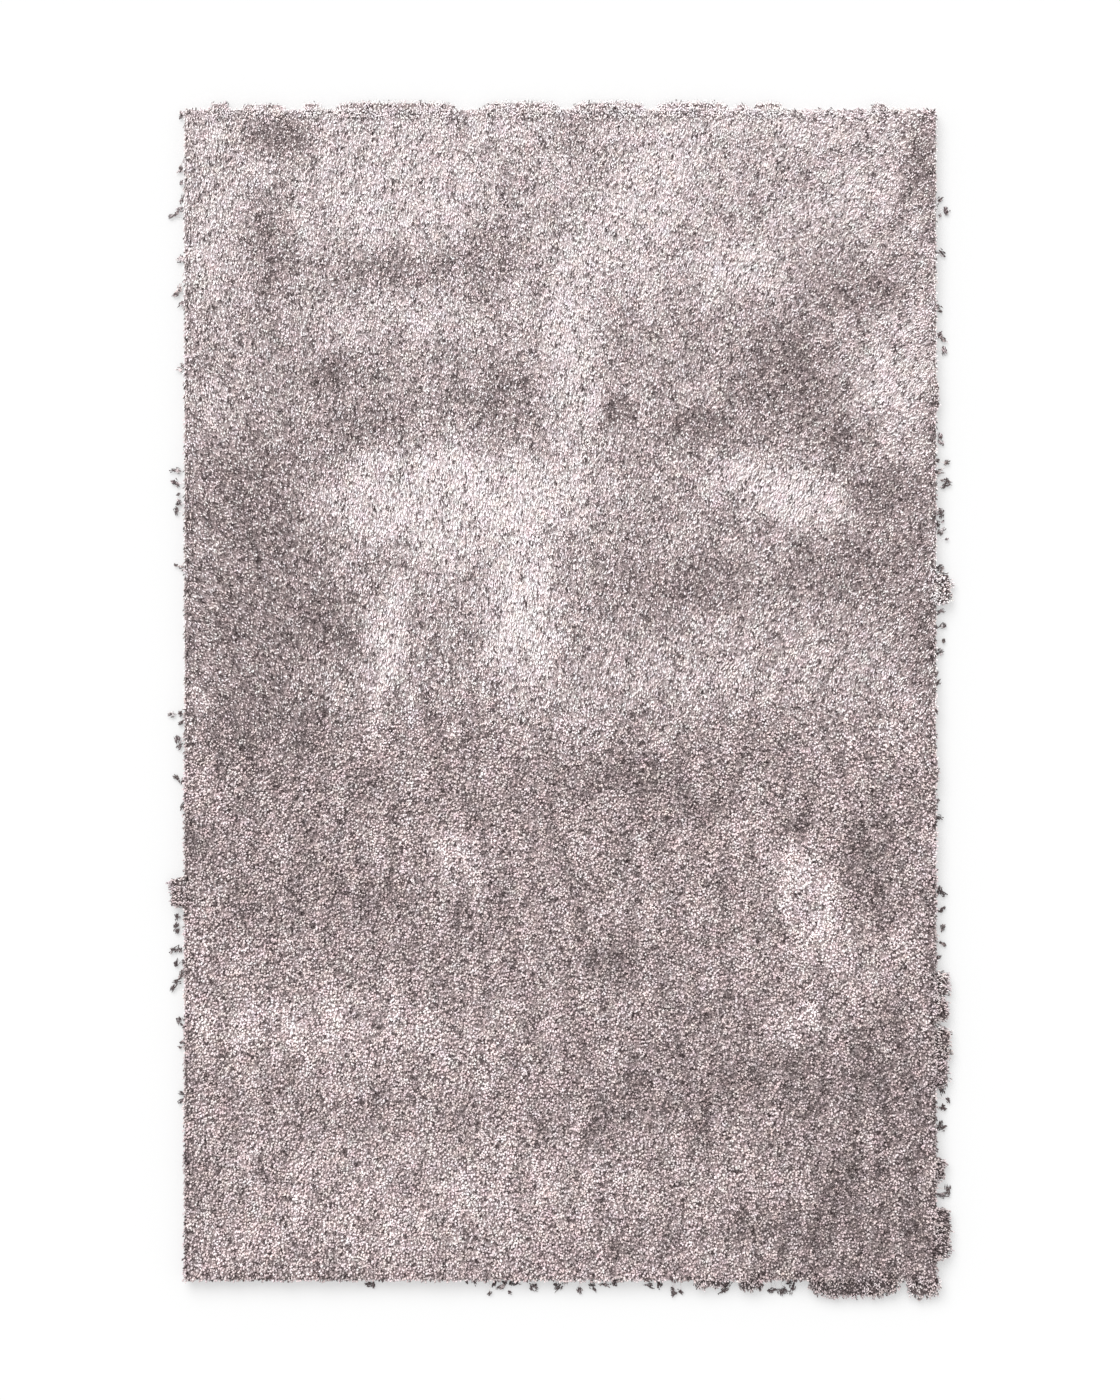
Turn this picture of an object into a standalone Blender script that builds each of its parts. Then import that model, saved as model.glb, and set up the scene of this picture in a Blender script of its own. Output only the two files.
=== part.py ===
"""Shag rug, lying flat.

The rug is one cloth: a straight-cut ground cloth and the dense, soft pile that
stands in it. The solid fills the room that both take up. Its pile hangs past the
cloth's edges in uneven locks and lies lower where it has been brushed down.

Metres, +Z up, +Y along the rug. The origin is on the floor, under the middle of
the rug's outline.
"""

import math
from collections import namedtuple

import bmesh
import bpy
from mathutils.geometry import delaunay_2d_cdt

# Driving dimensions
CLOTH_WIDTH = 1.525
CLOTH_LENGTH = 2.375
CLOTH_THICK = 0.003
CLOTH_CORNER = 0.006  # radius of the cloth's corners
PILE_HEIGHT = 0.032  # over the cloth, where the pile stands up

# How far the longest locks lie past each edge. Far is +Y and near is -Y.
LONGEST = {"left": 0.038, "right": 0.037, "far": 0.020, "near": 0.041}

# Locks past the cloth's edges: the side, the middle along it (y on the left and
# right, x on the far and near side), half the width there, and the reach.
Lock = namedtuple("Lock", "side middle half reach")
LOCKS = (
    Lock("left", 1.180, 0.022, 0.020),
    Lock("left", 1.066, 0.018, 0.016),
    Lock("left", 0.995, 0.026, 0.036),
    Lock("left", 0.884, 0.022, 0.022),
    Lock("left", 0.823, 0.018, 0.030),
    Lock("left", 0.668, 0.016, 0.014),
    Lock("left", 0.448, 0.022, 0.032),
    Lock("left", 0.404, 0.024, 0.038),
    Lock("left", 0.271, 0.020, 0.026),
    Lock("left", -0.030, 0.024, 0.034),
    Lock("left", -0.093, 0.020, 0.028),
    Lock("left", -0.156, 0.018, 0.024),
    Lock("left", -0.222, 0.018, 0.012),
    Lock("left", -0.390, 0.032, 0.037),
    Lock("left", -0.457, 0.024, 0.028),
    Lock("left", -0.518, 0.026, 0.032),
    Lock("left", -0.577, 0.024, 0.036),
    Lock("left", -0.642, 0.020, 0.024),
    Lock("left", -0.690, 0.020, 0.026),
    Lock("left", -0.811, 0.016, 0.012),
    Lock("right", 1.001, 0.022, 0.036),
    Lock("right", 0.916, 0.018, 0.020),
    Lock("right", 0.785, 0.018, 0.028),
    Lock("right", 0.722, 0.022, 0.025),
    Lock("right", 0.615, 0.030, 0.009),
    Lock("right", 0.528, 0.024, 0.020),
    Lock("right", 0.480, 0.022, 0.032),
    Lock("right", 0.434, 0.020, 0.034),
    Lock("right", 0.388, 0.020, 0.021),
    Lock("right", 0.342, 0.026, 0.034),
    Lock("right", 0.281, 0.022, 0.026),
    Lock("right", 0.226, 0.034, 0.037),
    Lock("right", 0.160, 0.024, 0.025),
    Lock("right", 0.105, 0.022, 0.024),
    Lock("right", 0.040, 0.024, 0.010),
    Lock("right", -0.142, 0.026, 0.008),
    Lock("right", -0.225, 0.030, 0.013),
    Lock("right", -0.385, 0.022, 0.018),
    Lock("right", -0.445, 0.026, 0.026),
    Lock("right", -0.508, 0.028, 0.029),
    Lock("right", -0.577, 0.028, 0.034),
    Lock("right", -0.629, 0.026, 0.033),
    Lock("right", -0.698, 0.038, 0.037),
    Lock("right", -0.757, 0.030, 0.031),
    Lock("right", -0.811, 0.024, 0.037),
    Lock("right", -0.856, 0.020, 0.030),
    Lock("right", -0.951, 0.026, 0.024),
    Lock("right", -1.001, 0.018, 0.036),
    Lock("right", -1.082, 0.054, 0.037),
    Lock("far", -0.690, 0.020, 0.018),
    Lock("far", -0.600, 0.046, 0.014),
    Lock("far", -0.503, 0.020, 0.018),
    Lock("far", -0.332, 0.123, 0.020),
    Lock("far", -0.077, 0.079, 0.020),
    Lock("far", 0.099, 0.075, 0.020),
    Lock("far", 0.268, 0.074, 0.020),
    Lock("far", 0.369, 0.016, 0.014),
    Lock("far", 0.421, 0.028, 0.018),
    Lock("far", 0.647, 0.018, 0.016),
    Lock("near", -0.373, 0.018, 0.022),
    Lock("near", -0.185, 0.024, 0.012),
    Lock("near", -0.122, 0.034, 0.039),
    Lock("near", -0.062, 0.030, 0.032),
    Lock("near", -0.006, 0.024, 0.028),
    Lock("near", 0.055, 0.018, 0.036),
    Lock("near", 0.100, 0.026, 0.021),
    Lock("near", 0.188, 0.022, 0.020),
    Lock("near", 0.242, 0.020, 0.038),
    Lock("near", 0.302, 0.030, 0.022),
    Lock("near", 0.348, 0.018, 0.038),
    Lock("near", 0.388, 0.026, 0.026),
    Lock("near", 0.440, 0.022, 0.038),
    Lock("near", 0.482, 0.020, 0.036),
    Lock("near", 0.596, 0.092, 0.041),
    Lock("near", 0.736, 0.034, 0.041),
)

# Where the pile is brushed down: the middle, half the width and half the length,
# the turn in degrees and how far the pile sinks.
Brushed = namedtuple("Brushed", "x y half_width half_length turn sink")
BRUSHED = (
    Brushed(-0.190, 0.430, 0.260, 0.075, 4, 0.006),
    Brushed(-0.070, 0.205, 0.075, 0.160, 0, 0.006),
    Brushed(-0.355, 0.110, 0.045, 0.140, -6, 0.004),
    Brushed(0.018, 0.670, 0.060, 0.220, 0, 0.005),
    Brushed(0.190, 1.020, 0.090, 0.220, -40, 0.005),
    Brushed(-0.360, 1.010, 0.200, 0.120, 0, 0.004),
    Brushed(-0.400, 0.740, 0.140, 0.060, 0, 0.003),
    Brushed(0.450, 0.410, 0.160, 0.050, -18, 0.005),
    Brushed(0.560, 1.000, 0.120, 0.070, 0, 0.003),
    Brushed(0.670, 0.640, 0.090, 0.160, -10, 0.004),
    Brushed(-0.700, 0.930, 0.060, 0.160, 0, 0.003),
    Brushed(0.320, 0.030, 0.240, 0.090, 0, 0.003),
    Brushed(0.510, -0.430, 0.060, 0.150, 30, 0.004),
)

# Section of the pile's edge, from the floor up: the height, the share of the
# lock's reach, and how far it stands in from the cloth's edge.
EdgeRing = namedtuple("EdgeRing", "height share inset")
EDGE_RINGS = (
    EdgeRing(0.000, 0.0, 0.000),  # the cloth's underside
    EdgeRing(CLOTH_THICK, 0.0, 0.000),
    EdgeRing(0.001, 1.0, 0.000),  # the locks' ends, drooping on the floor
    EdgeRing(0.012, 1.0, 0.000),
    EdgeRing(0.024, 0.2, 0.000),
    EdgeRing(CLOTH_THICK + PILE_HEIGHT - 0.004, 0.0, 0.008),
)
TOP_INSET = 0.022  # where the rounded edge meets the pile's top

# The edge wanders in waves: radians per metre, share of the whole and start.
Wave = namedtuple("Wave", "rate share start")
WAVES = (
    Wave(29, 0.5, 2.0),
    Wave(61, 1.0, 0.0),
    Wave(143, 0.7, 1.0),
)
RAGGED = 0.0022  # how far the edge wanders between the locks
FRAYED = 0.0040  # how much the locks' ends vary
CORNER_REACH = 0.003  # how far the pile lies past the cloth's corners

EDGE_STEP = 0.016  # between points along the edge
TOP_STEP = 0.080  # between points on the pile's top
TOP_MARGIN = 0.027  # between those points and the rounded edge
TOUCHING = 1e-5  # points this close are one

PILE_COLOUR = (180, 166, 166)  # sRGB, a warm grey
PILE_ROUGHNESS = 0.75
SHARP_EDGE = 50  # degrees

HALF_WIDTH = CLOTH_WIDTH / 2
HALF_LENGTH = CLOTH_LENGTH / 2
# The locks are longer on some sides, so the cloth lies off the outline's middle.
MIDDLE_X = (LONGEST["left"] - LONGEST["right"]) / 2
MIDDLE_Y = (LONGEST["near"] - LONGEST["far"]) / 2

EdgePoint = namedtuple("EdgePoint", "x y out_x out_y reach")


def wander(along):
    """How uneven the edge is at one place, from 0 to 1."""
    waves = sum(w.share * math.sin(along * w.rate + w.start) for w in WAVES)
    return 0.5 + 0.5 * waves / sum(w.share for w in WAVES)


def reach_at(side, along):
    """How far the pile lies past the cloth's edge at one place."""
    uneven = wander(along)
    reach = RAGGED * uneven
    for lock in LOCKS:
        off = abs(along - lock.middle) / lock.half
        if lock.side == side and off < 1:
            blunt = math.sqrt(1 - off**4)
            reach = max(reach, (lock.reach - FRAYED * uneven) * blunt)
    return reach


def side_points(side, start, end, out):
    """Points along one straight side, from one rounded corner to the next."""
    span = math.dist(start, end)
    count = round(span / EDGE_STEP)
    for i in range(count + 1):
        x = start[0] + (end[0] - start[0]) * i / count
        y = start[1] + (end[1] - start[1]) * i / count
        along = y + MIDDLE_Y if side in ("left", "right") else x + MIDDLE_X
        yield EdgePoint(x, y, *out, reach_at(side, along))


def corner_point(x_sign, y_sign):
    """The middle of a rounded corner."""
    half = math.sqrt(0.5)
    cut = CLOTH_CORNER * (1 - half)
    x = x_sign * (HALF_WIDTH - cut)
    y = y_sign * (HALF_LENGTH - cut)
    return EdgePoint(x, y, x_sign * half, y_sign * half, CORNER_REACH)


def edge_points():
    """Points round the cloth's edge, anticlockwise from the near left corner."""
    w, h = HALF_WIDTH, HALF_LENGTH
    sw, sh = w - CLOTH_CORNER, h - CLOTH_CORNER
    return [
        *side_points("near", (-sw, -h), (sw, -h), (0, -1)),
        corner_point(1, -1),
        *side_points("right", (w, -sh), (w, sh), (1, 0)),
        corner_point(1, 1),
        *side_points("far", (sw, h), (-sw, h), (0, 1)),
        corner_point(-1, 1),
        *side_points("left", (-w, sh), (-w, -sh), (-1, 0)),
        corner_point(-1, -1),
    ]


def ring_places(points, share, inset):
    """The edge pushed out by a share of each lock's reach, or drawn in."""
    shrink_x = 1 - inset / HALF_WIDTH
    shrink_y = 1 - inset / HALF_LENGTH
    return [
        (
            MIDDLE_X + p.x * shrink_x + p.out_x * p.reach * share,
            MIDDLE_Y + p.y * shrink_y + p.out_y * p.reach * share,
        )
        for p in points
    ]


def top_height(x, y):
    """The pile's top, which sinks smoothly where the pile is brushed down."""
    sink = 0.0
    for b in BRUSHED:
        turn = math.radians(b.turn)
        across = (x - b.x) * math.cos(turn) + (y - b.y) * math.sin(turn)
        along = (y - b.y) * math.cos(turn) - (x - b.x) * math.sin(turn)
        off = math.hypot(across / b.half_width, along / b.half_length)
        sink = max(sink, b.sink * math.exp(-(off**2)))
    return CLOTH_THICK + PILE_HEIGHT - sink


def inner_places():
    """Staggered points over the pile's top, clear of its rounded edge."""
    room_x = HALF_WIDTH - TOP_INSET - TOP_MARGIN
    room_y = HALF_LENGTH - TOP_INSET - TOP_MARGIN
    columns = round(2 * room_x / TOP_STEP)
    rows = round(2 * room_y / TOP_STEP)
    places = []
    for row in range(rows + 1):
        shift = 0.5 * (row % 2)
        for column in range(columns + 1 - row % 2):
            x = MIDDLE_X - room_x + 2 * room_x * (column + shift) / columns
            y = MIDDLE_Y - room_y + 2 * room_y * row / rows
            places.append((x, y))
    return places


def add_top(bm, rim):
    """The pile's top: a triangle net over the inner points, inside the rim."""
    places = rim + inner_places()
    border = [(i, (i + 1) % len(rim)) for i in range(len(rim))]
    inside_only = 1
    net = delaunay_2d_cdt(places, border, [], inside_only, TOUCHING)
    net_places, net_faces = net[0], net[2]
    verts = [bm.verts.new((x, y, top_height(x, y))) for x, y in net_places]
    for face in net_faces:
        bm.faces.new([verts[i] for i in face])


def add_rings(bm, points):
    """The underside, the ragged edge and the rounded shoulder, ring on ring."""
    rings = []
    for ring in EDGE_RINGS:
        places = ring_places(points, ring.share, ring.inset)
        rings.append([bm.verts.new((x, y, ring.height)) for x, y in places])
    rim = ring_places(points, 0, TOP_INSET)
    rings.append([bm.verts.new((x, y, top_height(x, y))) for x, y in rim])
    count = len(points)
    for low, high in zip(rings, rings[1:]):
        for i in range(count):
            j = (i + 1) % count
            bm.faces.new((low[i], low[j], high[j], high[i]))
    bm.faces.new(list(reversed(rings[0])))
    return rim


def centre(bm):
    """Moves the rug so that its outline's middle is over the origin."""
    xs = [v.co.x for v in bm.verts]
    ys = [v.co.y for v in bm.verts]
    middle = ((min(xs) + max(xs)) / 2, (min(ys) + max(ys)) / 2)
    bmesh.ops.translate(bm, verts=bm.verts, vec=(-middle[0], -middle[1], 0))


def rug_mesh():
    """The closed solid of the ground cloth and its pile."""
    mesh = bpy.data.meshes.new("rug")
    bm = bmesh.new()
    rim = add_rings(bm, edge_points())
    add_top(bm, rim)
    bmesh.ops.remove_doubles(bm, verts=bm.verts, dist=TOUCHING)
    bmesh.ops.recalc_face_normals(bm, faces=bm.faces)
    centre(bm)
    bm.to_mesh(mesh)
    bm.free()
    mesh.shade_smooth()
    mesh.set_sharp_from_angle(angle=math.radians(SHARP_EDGE))
    return mesh


def linear(channel):
    """One sRGB channel from 0 to 255 as scene-linear light."""
    c = channel / 255
    return c / 12.92 if c <= 0.04045 else ((c + 0.055) / 1.055) ** 2.4


def pile_material():
    """Soft yarn with no metal in it."""
    material = bpy.data.materials.new("pile")
    material.use_nodes = True
    shader = material.node_tree.nodes["Principled BSDF"]
    colour = (*(linear(c) for c in PILE_COLOUR), 1.0)
    shader.inputs["Base Color"].default_value = colour
    shader.inputs["Roughness"].default_value = PILE_ROUGHNESS
    shader.inputs["Metallic"].default_value = 0.0
    material.diffuse_color = colour
    return material


def main():
    for old in list(bpy.data.objects):
        bpy.data.objects.remove(old, do_unlink=True)
    collection = bpy.data.collections.new("shag_rug")
    bpy.context.scene.collection.children.link(collection)
    mesh = rug_mesh()
    mesh.materials.append(pile_material())
    collection.objects.link(bpy.data.objects.new("rug", mesh))


main()
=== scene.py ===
"""Looks of the shag rug: its yarns, the locks past its edges and the cloth below.

Metres, +Z up, +Y along the rug. The origin is on the floor, under the middle of
the rug's outline.
"""

import math
from collections import namedtuple

import bmesh
import bpy
import numpy as np
from mathutils import Matrix, Vector


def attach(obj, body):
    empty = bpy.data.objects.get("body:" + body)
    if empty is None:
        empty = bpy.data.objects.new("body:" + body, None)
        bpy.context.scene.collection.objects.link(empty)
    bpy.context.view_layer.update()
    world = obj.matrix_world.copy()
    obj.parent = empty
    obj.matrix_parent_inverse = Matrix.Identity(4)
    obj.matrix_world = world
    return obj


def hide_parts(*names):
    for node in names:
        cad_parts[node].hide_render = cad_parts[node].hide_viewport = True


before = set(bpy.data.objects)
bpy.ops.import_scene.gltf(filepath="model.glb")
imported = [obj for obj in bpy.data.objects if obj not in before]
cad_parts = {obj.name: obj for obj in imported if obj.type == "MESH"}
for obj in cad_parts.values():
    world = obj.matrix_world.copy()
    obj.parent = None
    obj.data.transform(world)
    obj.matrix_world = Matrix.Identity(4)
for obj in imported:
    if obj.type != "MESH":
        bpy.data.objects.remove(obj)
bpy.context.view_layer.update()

# The cloth, as in the part's source. Its middle is found from how far the solid's
# locks reach past each side. Those on the far side are drawn a little longer here.
CLOTH_WIDTH = 1.525
CLOTH_LENGTH = 2.375
CLOTH_THICK = 0.003
CLOTH_CORNER = 0.006
CORNER_STEPS = 4
LONGEST = {"left": 0.038, "right": 0.037, "far": 0.020, "near": 0.041}
MIDDLE_X = (LONGEST["left"] - LONGEST["right"]) / 2
MIDDLE_Y = (LONGEST["near"] - LONGEST["far"]) / 2
LEFT, RIGHT = MIDDLE_X - CLOTH_WIDTH / 2, MIDDLE_X + CLOTH_WIDTH / 2
NEAR, FAR = MIDDLE_Y - CLOTH_LENGTH / 2, MIDDLE_Y + CLOTH_LENGTH / 2

# The pile is tufted in lengthwise strips, each one piece
STRIPS = 5
STRIP_COLUMNS = 77
ROWS = 596
STAGGER = 0.5  # how far a row is set off from the next, of a column's width
YARN_SIDES = 3
YARN_POINTS = YARN_SIDES + 1  # the root and the corners of the cut end
YARN_WIDTH = 0.0032  # at its cut end
YARN_WIDTHS = (0.75, 1.20)  # the narrowest and the widest, to that width
YARN_LENGTHS = (0.88, 1.08)  # the shortest and the longest, to the length worked out
JITTER = 0.0020  # how far a yarn may stand off its place
LOOSE = 0.22  # how much single yarns stray, to their length
CLUMP_SIZES = (0.012, 0.045)  # of yarns that stray together
PILE_HEIGHT = 0.0310  # of the yarns' ends over the cloth
PILE_SINK = 0.0035  # how much lower they are where the pile is brushed down
ROOT_MARGIN = (0.001, 0.009)  # how far in from the cloth's edge the outermost roots are
NEAT_EDGE = 0.020  # the width along the edges where yarns stray less
EDGE_LOOSE = 0.2  # how much they stray at the very edge, to elsewhere
EDGE_SHADE = 0.22  # how much less they shine at all edges but the far one
SEED = 7
STRIP_SEEDS = 100  # between one strip's seed and the next one's
CELL_MARGIN = 0.1  # round a yarn in its cell of the map, to the cell's size
CELL_NOTCH = 0.15  # how far the middle corner of its cut end is set back there

# Pairs of values, for the standing pile and for the brushed one
LEAN = (0.004, 0.014)  # from a yarn's root to its end, seen from above
CLUMPS = (0.18, 0.24)  # how much yarns stray together
ODD = (0.20, 0.45)  # how much the tones of single yarns differ
THICK = (1.6, 1.0)  # a yarn's width, to YARN_WIDTH
SHINE = (-0.01, 0.30)  # painted sheen: how much the pile catches the light
GAPS = (0.0098, 0.0112)  # how far the mat of the pile lies below the yarns' ends

LEAN_WITH_SHINE = 0.007  # how much further the pile leans where it shines

# The pile starts to be brushed over between these two y, along a wavy line. A wave
# has a size, the rate at which it repeats, and a shift.
UPPER_FROM, UPPER_TO = -0.16, 0.06
UPPER_WAVES = ((0.030, 9, 1), (0.018, 23, 2))

# Its streaks run along the rug or turn from that, in degrees. From x at TURN_FROM on
# they turn to the right, by STREAK_TURN once they are TURN_WIDTH further. Along the
# left side they turn to the left, less at the far end.
STREAK_TURN = 45
TURN_FROM, TURN_WIDTH = -0.155, 0.87
TURN_CURVE = 1.4
LEFT_TURNS = (6, 46)  # at the far end, and how much more from LEFT_NEARER on
LEFT_FROM, LEFT_TO = -0.44, -0.66
LEFT_FAR, LEFT_NEARER = 0.90, 0.17

# Locks past the cloth's edges: the side, the middle along it (y on the left and
# right, x on the far and near side), half the width there, and the reach.
Lock = namedtuple("Lock", "side middle half reach")
FULL_LOCKS = (  # as thick as the pile
    Lock("left", -0.390, 0.032, 0.037),
    Lock("right", 0.615, 0.030, 0.009),
    Lock("right", 0.226, 0.034, 0.037),
    Lock("right", -0.142, 0.026, 0.008),
    Lock("right", -0.577, 0.028, 0.034),
    Lock("right", -0.629, 0.026, 0.033),
    Lock("right", -0.698, 0.038, 0.037),
    Lock("right", -0.757, 0.030, 0.031),
    Lock("right", -0.951, 0.026, 0.024),
    Lock("right", -1.082, 0.054, 0.037),
    Lock("far", -0.690, 0.020, 0.022),
    Lock("far", -0.600, 0.046, 0.018),
    Lock("far", -0.503, 0.020, 0.022),
    Lock("far", -0.332, 0.123, 0.024),
    Lock("far", -0.077, 0.079, 0.024),
    Lock("far", 0.099, 0.075, 0.024),
    Lock("far", 0.268, 0.074, 0.024),
    Lock("far", 0.369, 0.016, 0.018),
    Lock("far", 0.421, 0.028, 0.022),
    Lock("far", 0.647, 0.018, 0.020),
    Lock("near", 0.302, 0.030, 0.022),
    Lock("near", 0.388, 0.026, 0.026),
    Lock("near", 0.596, 0.092, 0.041),
    Lock("near", 0.736, 0.034, 0.041),
)
THIN_LOCKS = (  # a few tufts
    Lock("left", 1.180, 0.022, 0.020),
    Lock("left", 1.066, 0.018, 0.016),
    Lock("left", 0.995, 0.026, 0.036),
    Lock("left", 0.884, 0.022, 0.022),
    Lock("left", 0.823, 0.018, 0.030),
    Lock("left", 0.668, 0.016, 0.014),
    Lock("left", 0.448, 0.022, 0.032),
    Lock("left", 0.404, 0.024, 0.038),
    Lock("left", 0.271, 0.020, 0.026),
    Lock("left", -0.030, 0.024, 0.034),
    Lock("left", -0.093, 0.020, 0.028),
    Lock("left", -0.156, 0.018, 0.024),
    Lock("left", -0.222, 0.018, 0.012),
    Lock("left", -0.457, 0.024, 0.028),
    Lock("left", -0.518, 0.026, 0.032),
    Lock("left", -0.577, 0.024, 0.036),
    Lock("left", -0.642, 0.020, 0.024),
    Lock("left", -0.690, 0.020, 0.026),
    Lock("left", -0.811, 0.016, 0.012),
    Lock("right", 1.001, 0.022, 0.036),
    Lock("right", 0.916, 0.018, 0.020),
    Lock("right", 0.785, 0.018, 0.028),
    Lock("right", 0.722, 0.022, 0.025),
    Lock("right", 0.528, 0.024, 0.020),
    Lock("right", 0.480, 0.022, 0.032),
    Lock("right", 0.434, 0.020, 0.034),
    Lock("right", 0.388, 0.020, 0.021),
    Lock("right", 0.342, 0.026, 0.034),
    Lock("right", 0.281, 0.022, 0.026),
    Lock("right", 0.160, 0.024, 0.025),
    Lock("right", 0.105, 0.022, 0.024),
    Lock("right", 0.040, 0.024, 0.010),
    Lock("right", -0.225, 0.030, 0.013),
    Lock("right", -0.385, 0.022, 0.018),
    Lock("right", -0.445, 0.026, 0.026),
    Lock("right", -0.508, 0.028, 0.029),
    Lock("right", -0.811, 0.024, 0.037),
    Lock("right", -0.856, 0.020, 0.030),
    Lock("right", -1.001, 0.018, 0.036),
    Lock("near", -0.373, 0.018, 0.022),
    Lock("near", -0.185, 0.024, 0.012),
    Lock("near", -0.122, 0.034, 0.039),
    Lock("near", -0.062, 0.030, 0.032),
    Lock("near", -0.006, 0.024, 0.028),
    Lock("near", 0.055, 0.018, 0.036),
    Lock("near", 0.100, 0.026, 0.021),
    Lock("near", 0.188, 0.022, 0.020),
    Lock("near", 0.242, 0.020, 0.038),
    Lock("near", 0.348, 0.018, 0.038),
    Lock("near", 0.440, 0.022, 0.038),
    Lock("near", 0.482, 0.020, 0.036),
)
OUTWARDS = {"left": (-1, 0), "right": (1, 0), "far": (0, 1), "near": (0, -1)}
FRAYED = {"left": 0.007, "right": 0.007, "far": 0.002, "near": 0.007}  # at their ends
LOCK_WAVES = ((0.25, 143, 1), (0.25, 331, 2))  # along their ends
LOCK_TAPER = 0.9  # the more, the less far a lock reaches at its two sides
LOCK_SQUARE = 6  # the more, the squarer its end
FULL_LOCK_YARNS = 72000  # yarns a square metre of a full lock
FULL_LOCK_DEEP = 0.015  # how far below their ends the yarns come out of its mat
FULL_LOCK_LEAN = {"left": 0.005, "right": 0.005, "far": -0.007, "near": 0.005}  # outwards
FULL_LOCK_SHINE = {"left": 0.0, "right": 0.1, "far": 0.4, "near": 0.1}  # painted sheen over the pile's
FULL_LOCK_END = 0.010  # its height at its end. At the cloth's edge it has the pile's.
LOCK_BACK = {"left": 0.2, "right": 0.2, "far": 0.6, "near": 0.2}  # inwards, of its reach
LOCK_MAT_END = {"left": 0.8, "right": 0.8, "far": 0.5, "near": 0.8}  # of its reach
LOCK_MAT_ROWS = 5
LOCK_MAT_STEP = 0.005  # between the mat's points along the edge
LOCK_MAT_SHADE = -0.4  # painted shade on the locks' mats, at all edges but the far one
# The far locks' mats get lighter painted shading
FAR_MAT_TONE = 0.4
THIN_LOCK_TUFTS = 2400  # tufts a square metre of a thin lock
TUFT_LOW = 0.0045  # the height of the tufts' middles over the floor
TUFT_OFF = 0.9  # how far off a lock's middle they are at most, of its half width
TUFT_OUT = (0.10, 0.85)  # how far out they are, of the lock's reach
TUFT_YARNS = 24
TUFT_SIZES = (0.35, 1.20)  # the smallest and the largest, to the sizes below
TUFT_LENGTH = 0.017
TUFT_YARN_LENGTH = 0.007
TUFT_YARN_RISE = (0.1, 0.5)  # how much they rise, to that length
TUFT_SPREAD = 0.0026
TUFT_SHINES = (-1.8, -0.7)  # painted shade over the pile's, which makes them dark
TUFT_STALKS = 2
STALK_THICK = 0.25  # of a yarn's width
STALK_SHINE = 1.5
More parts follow.
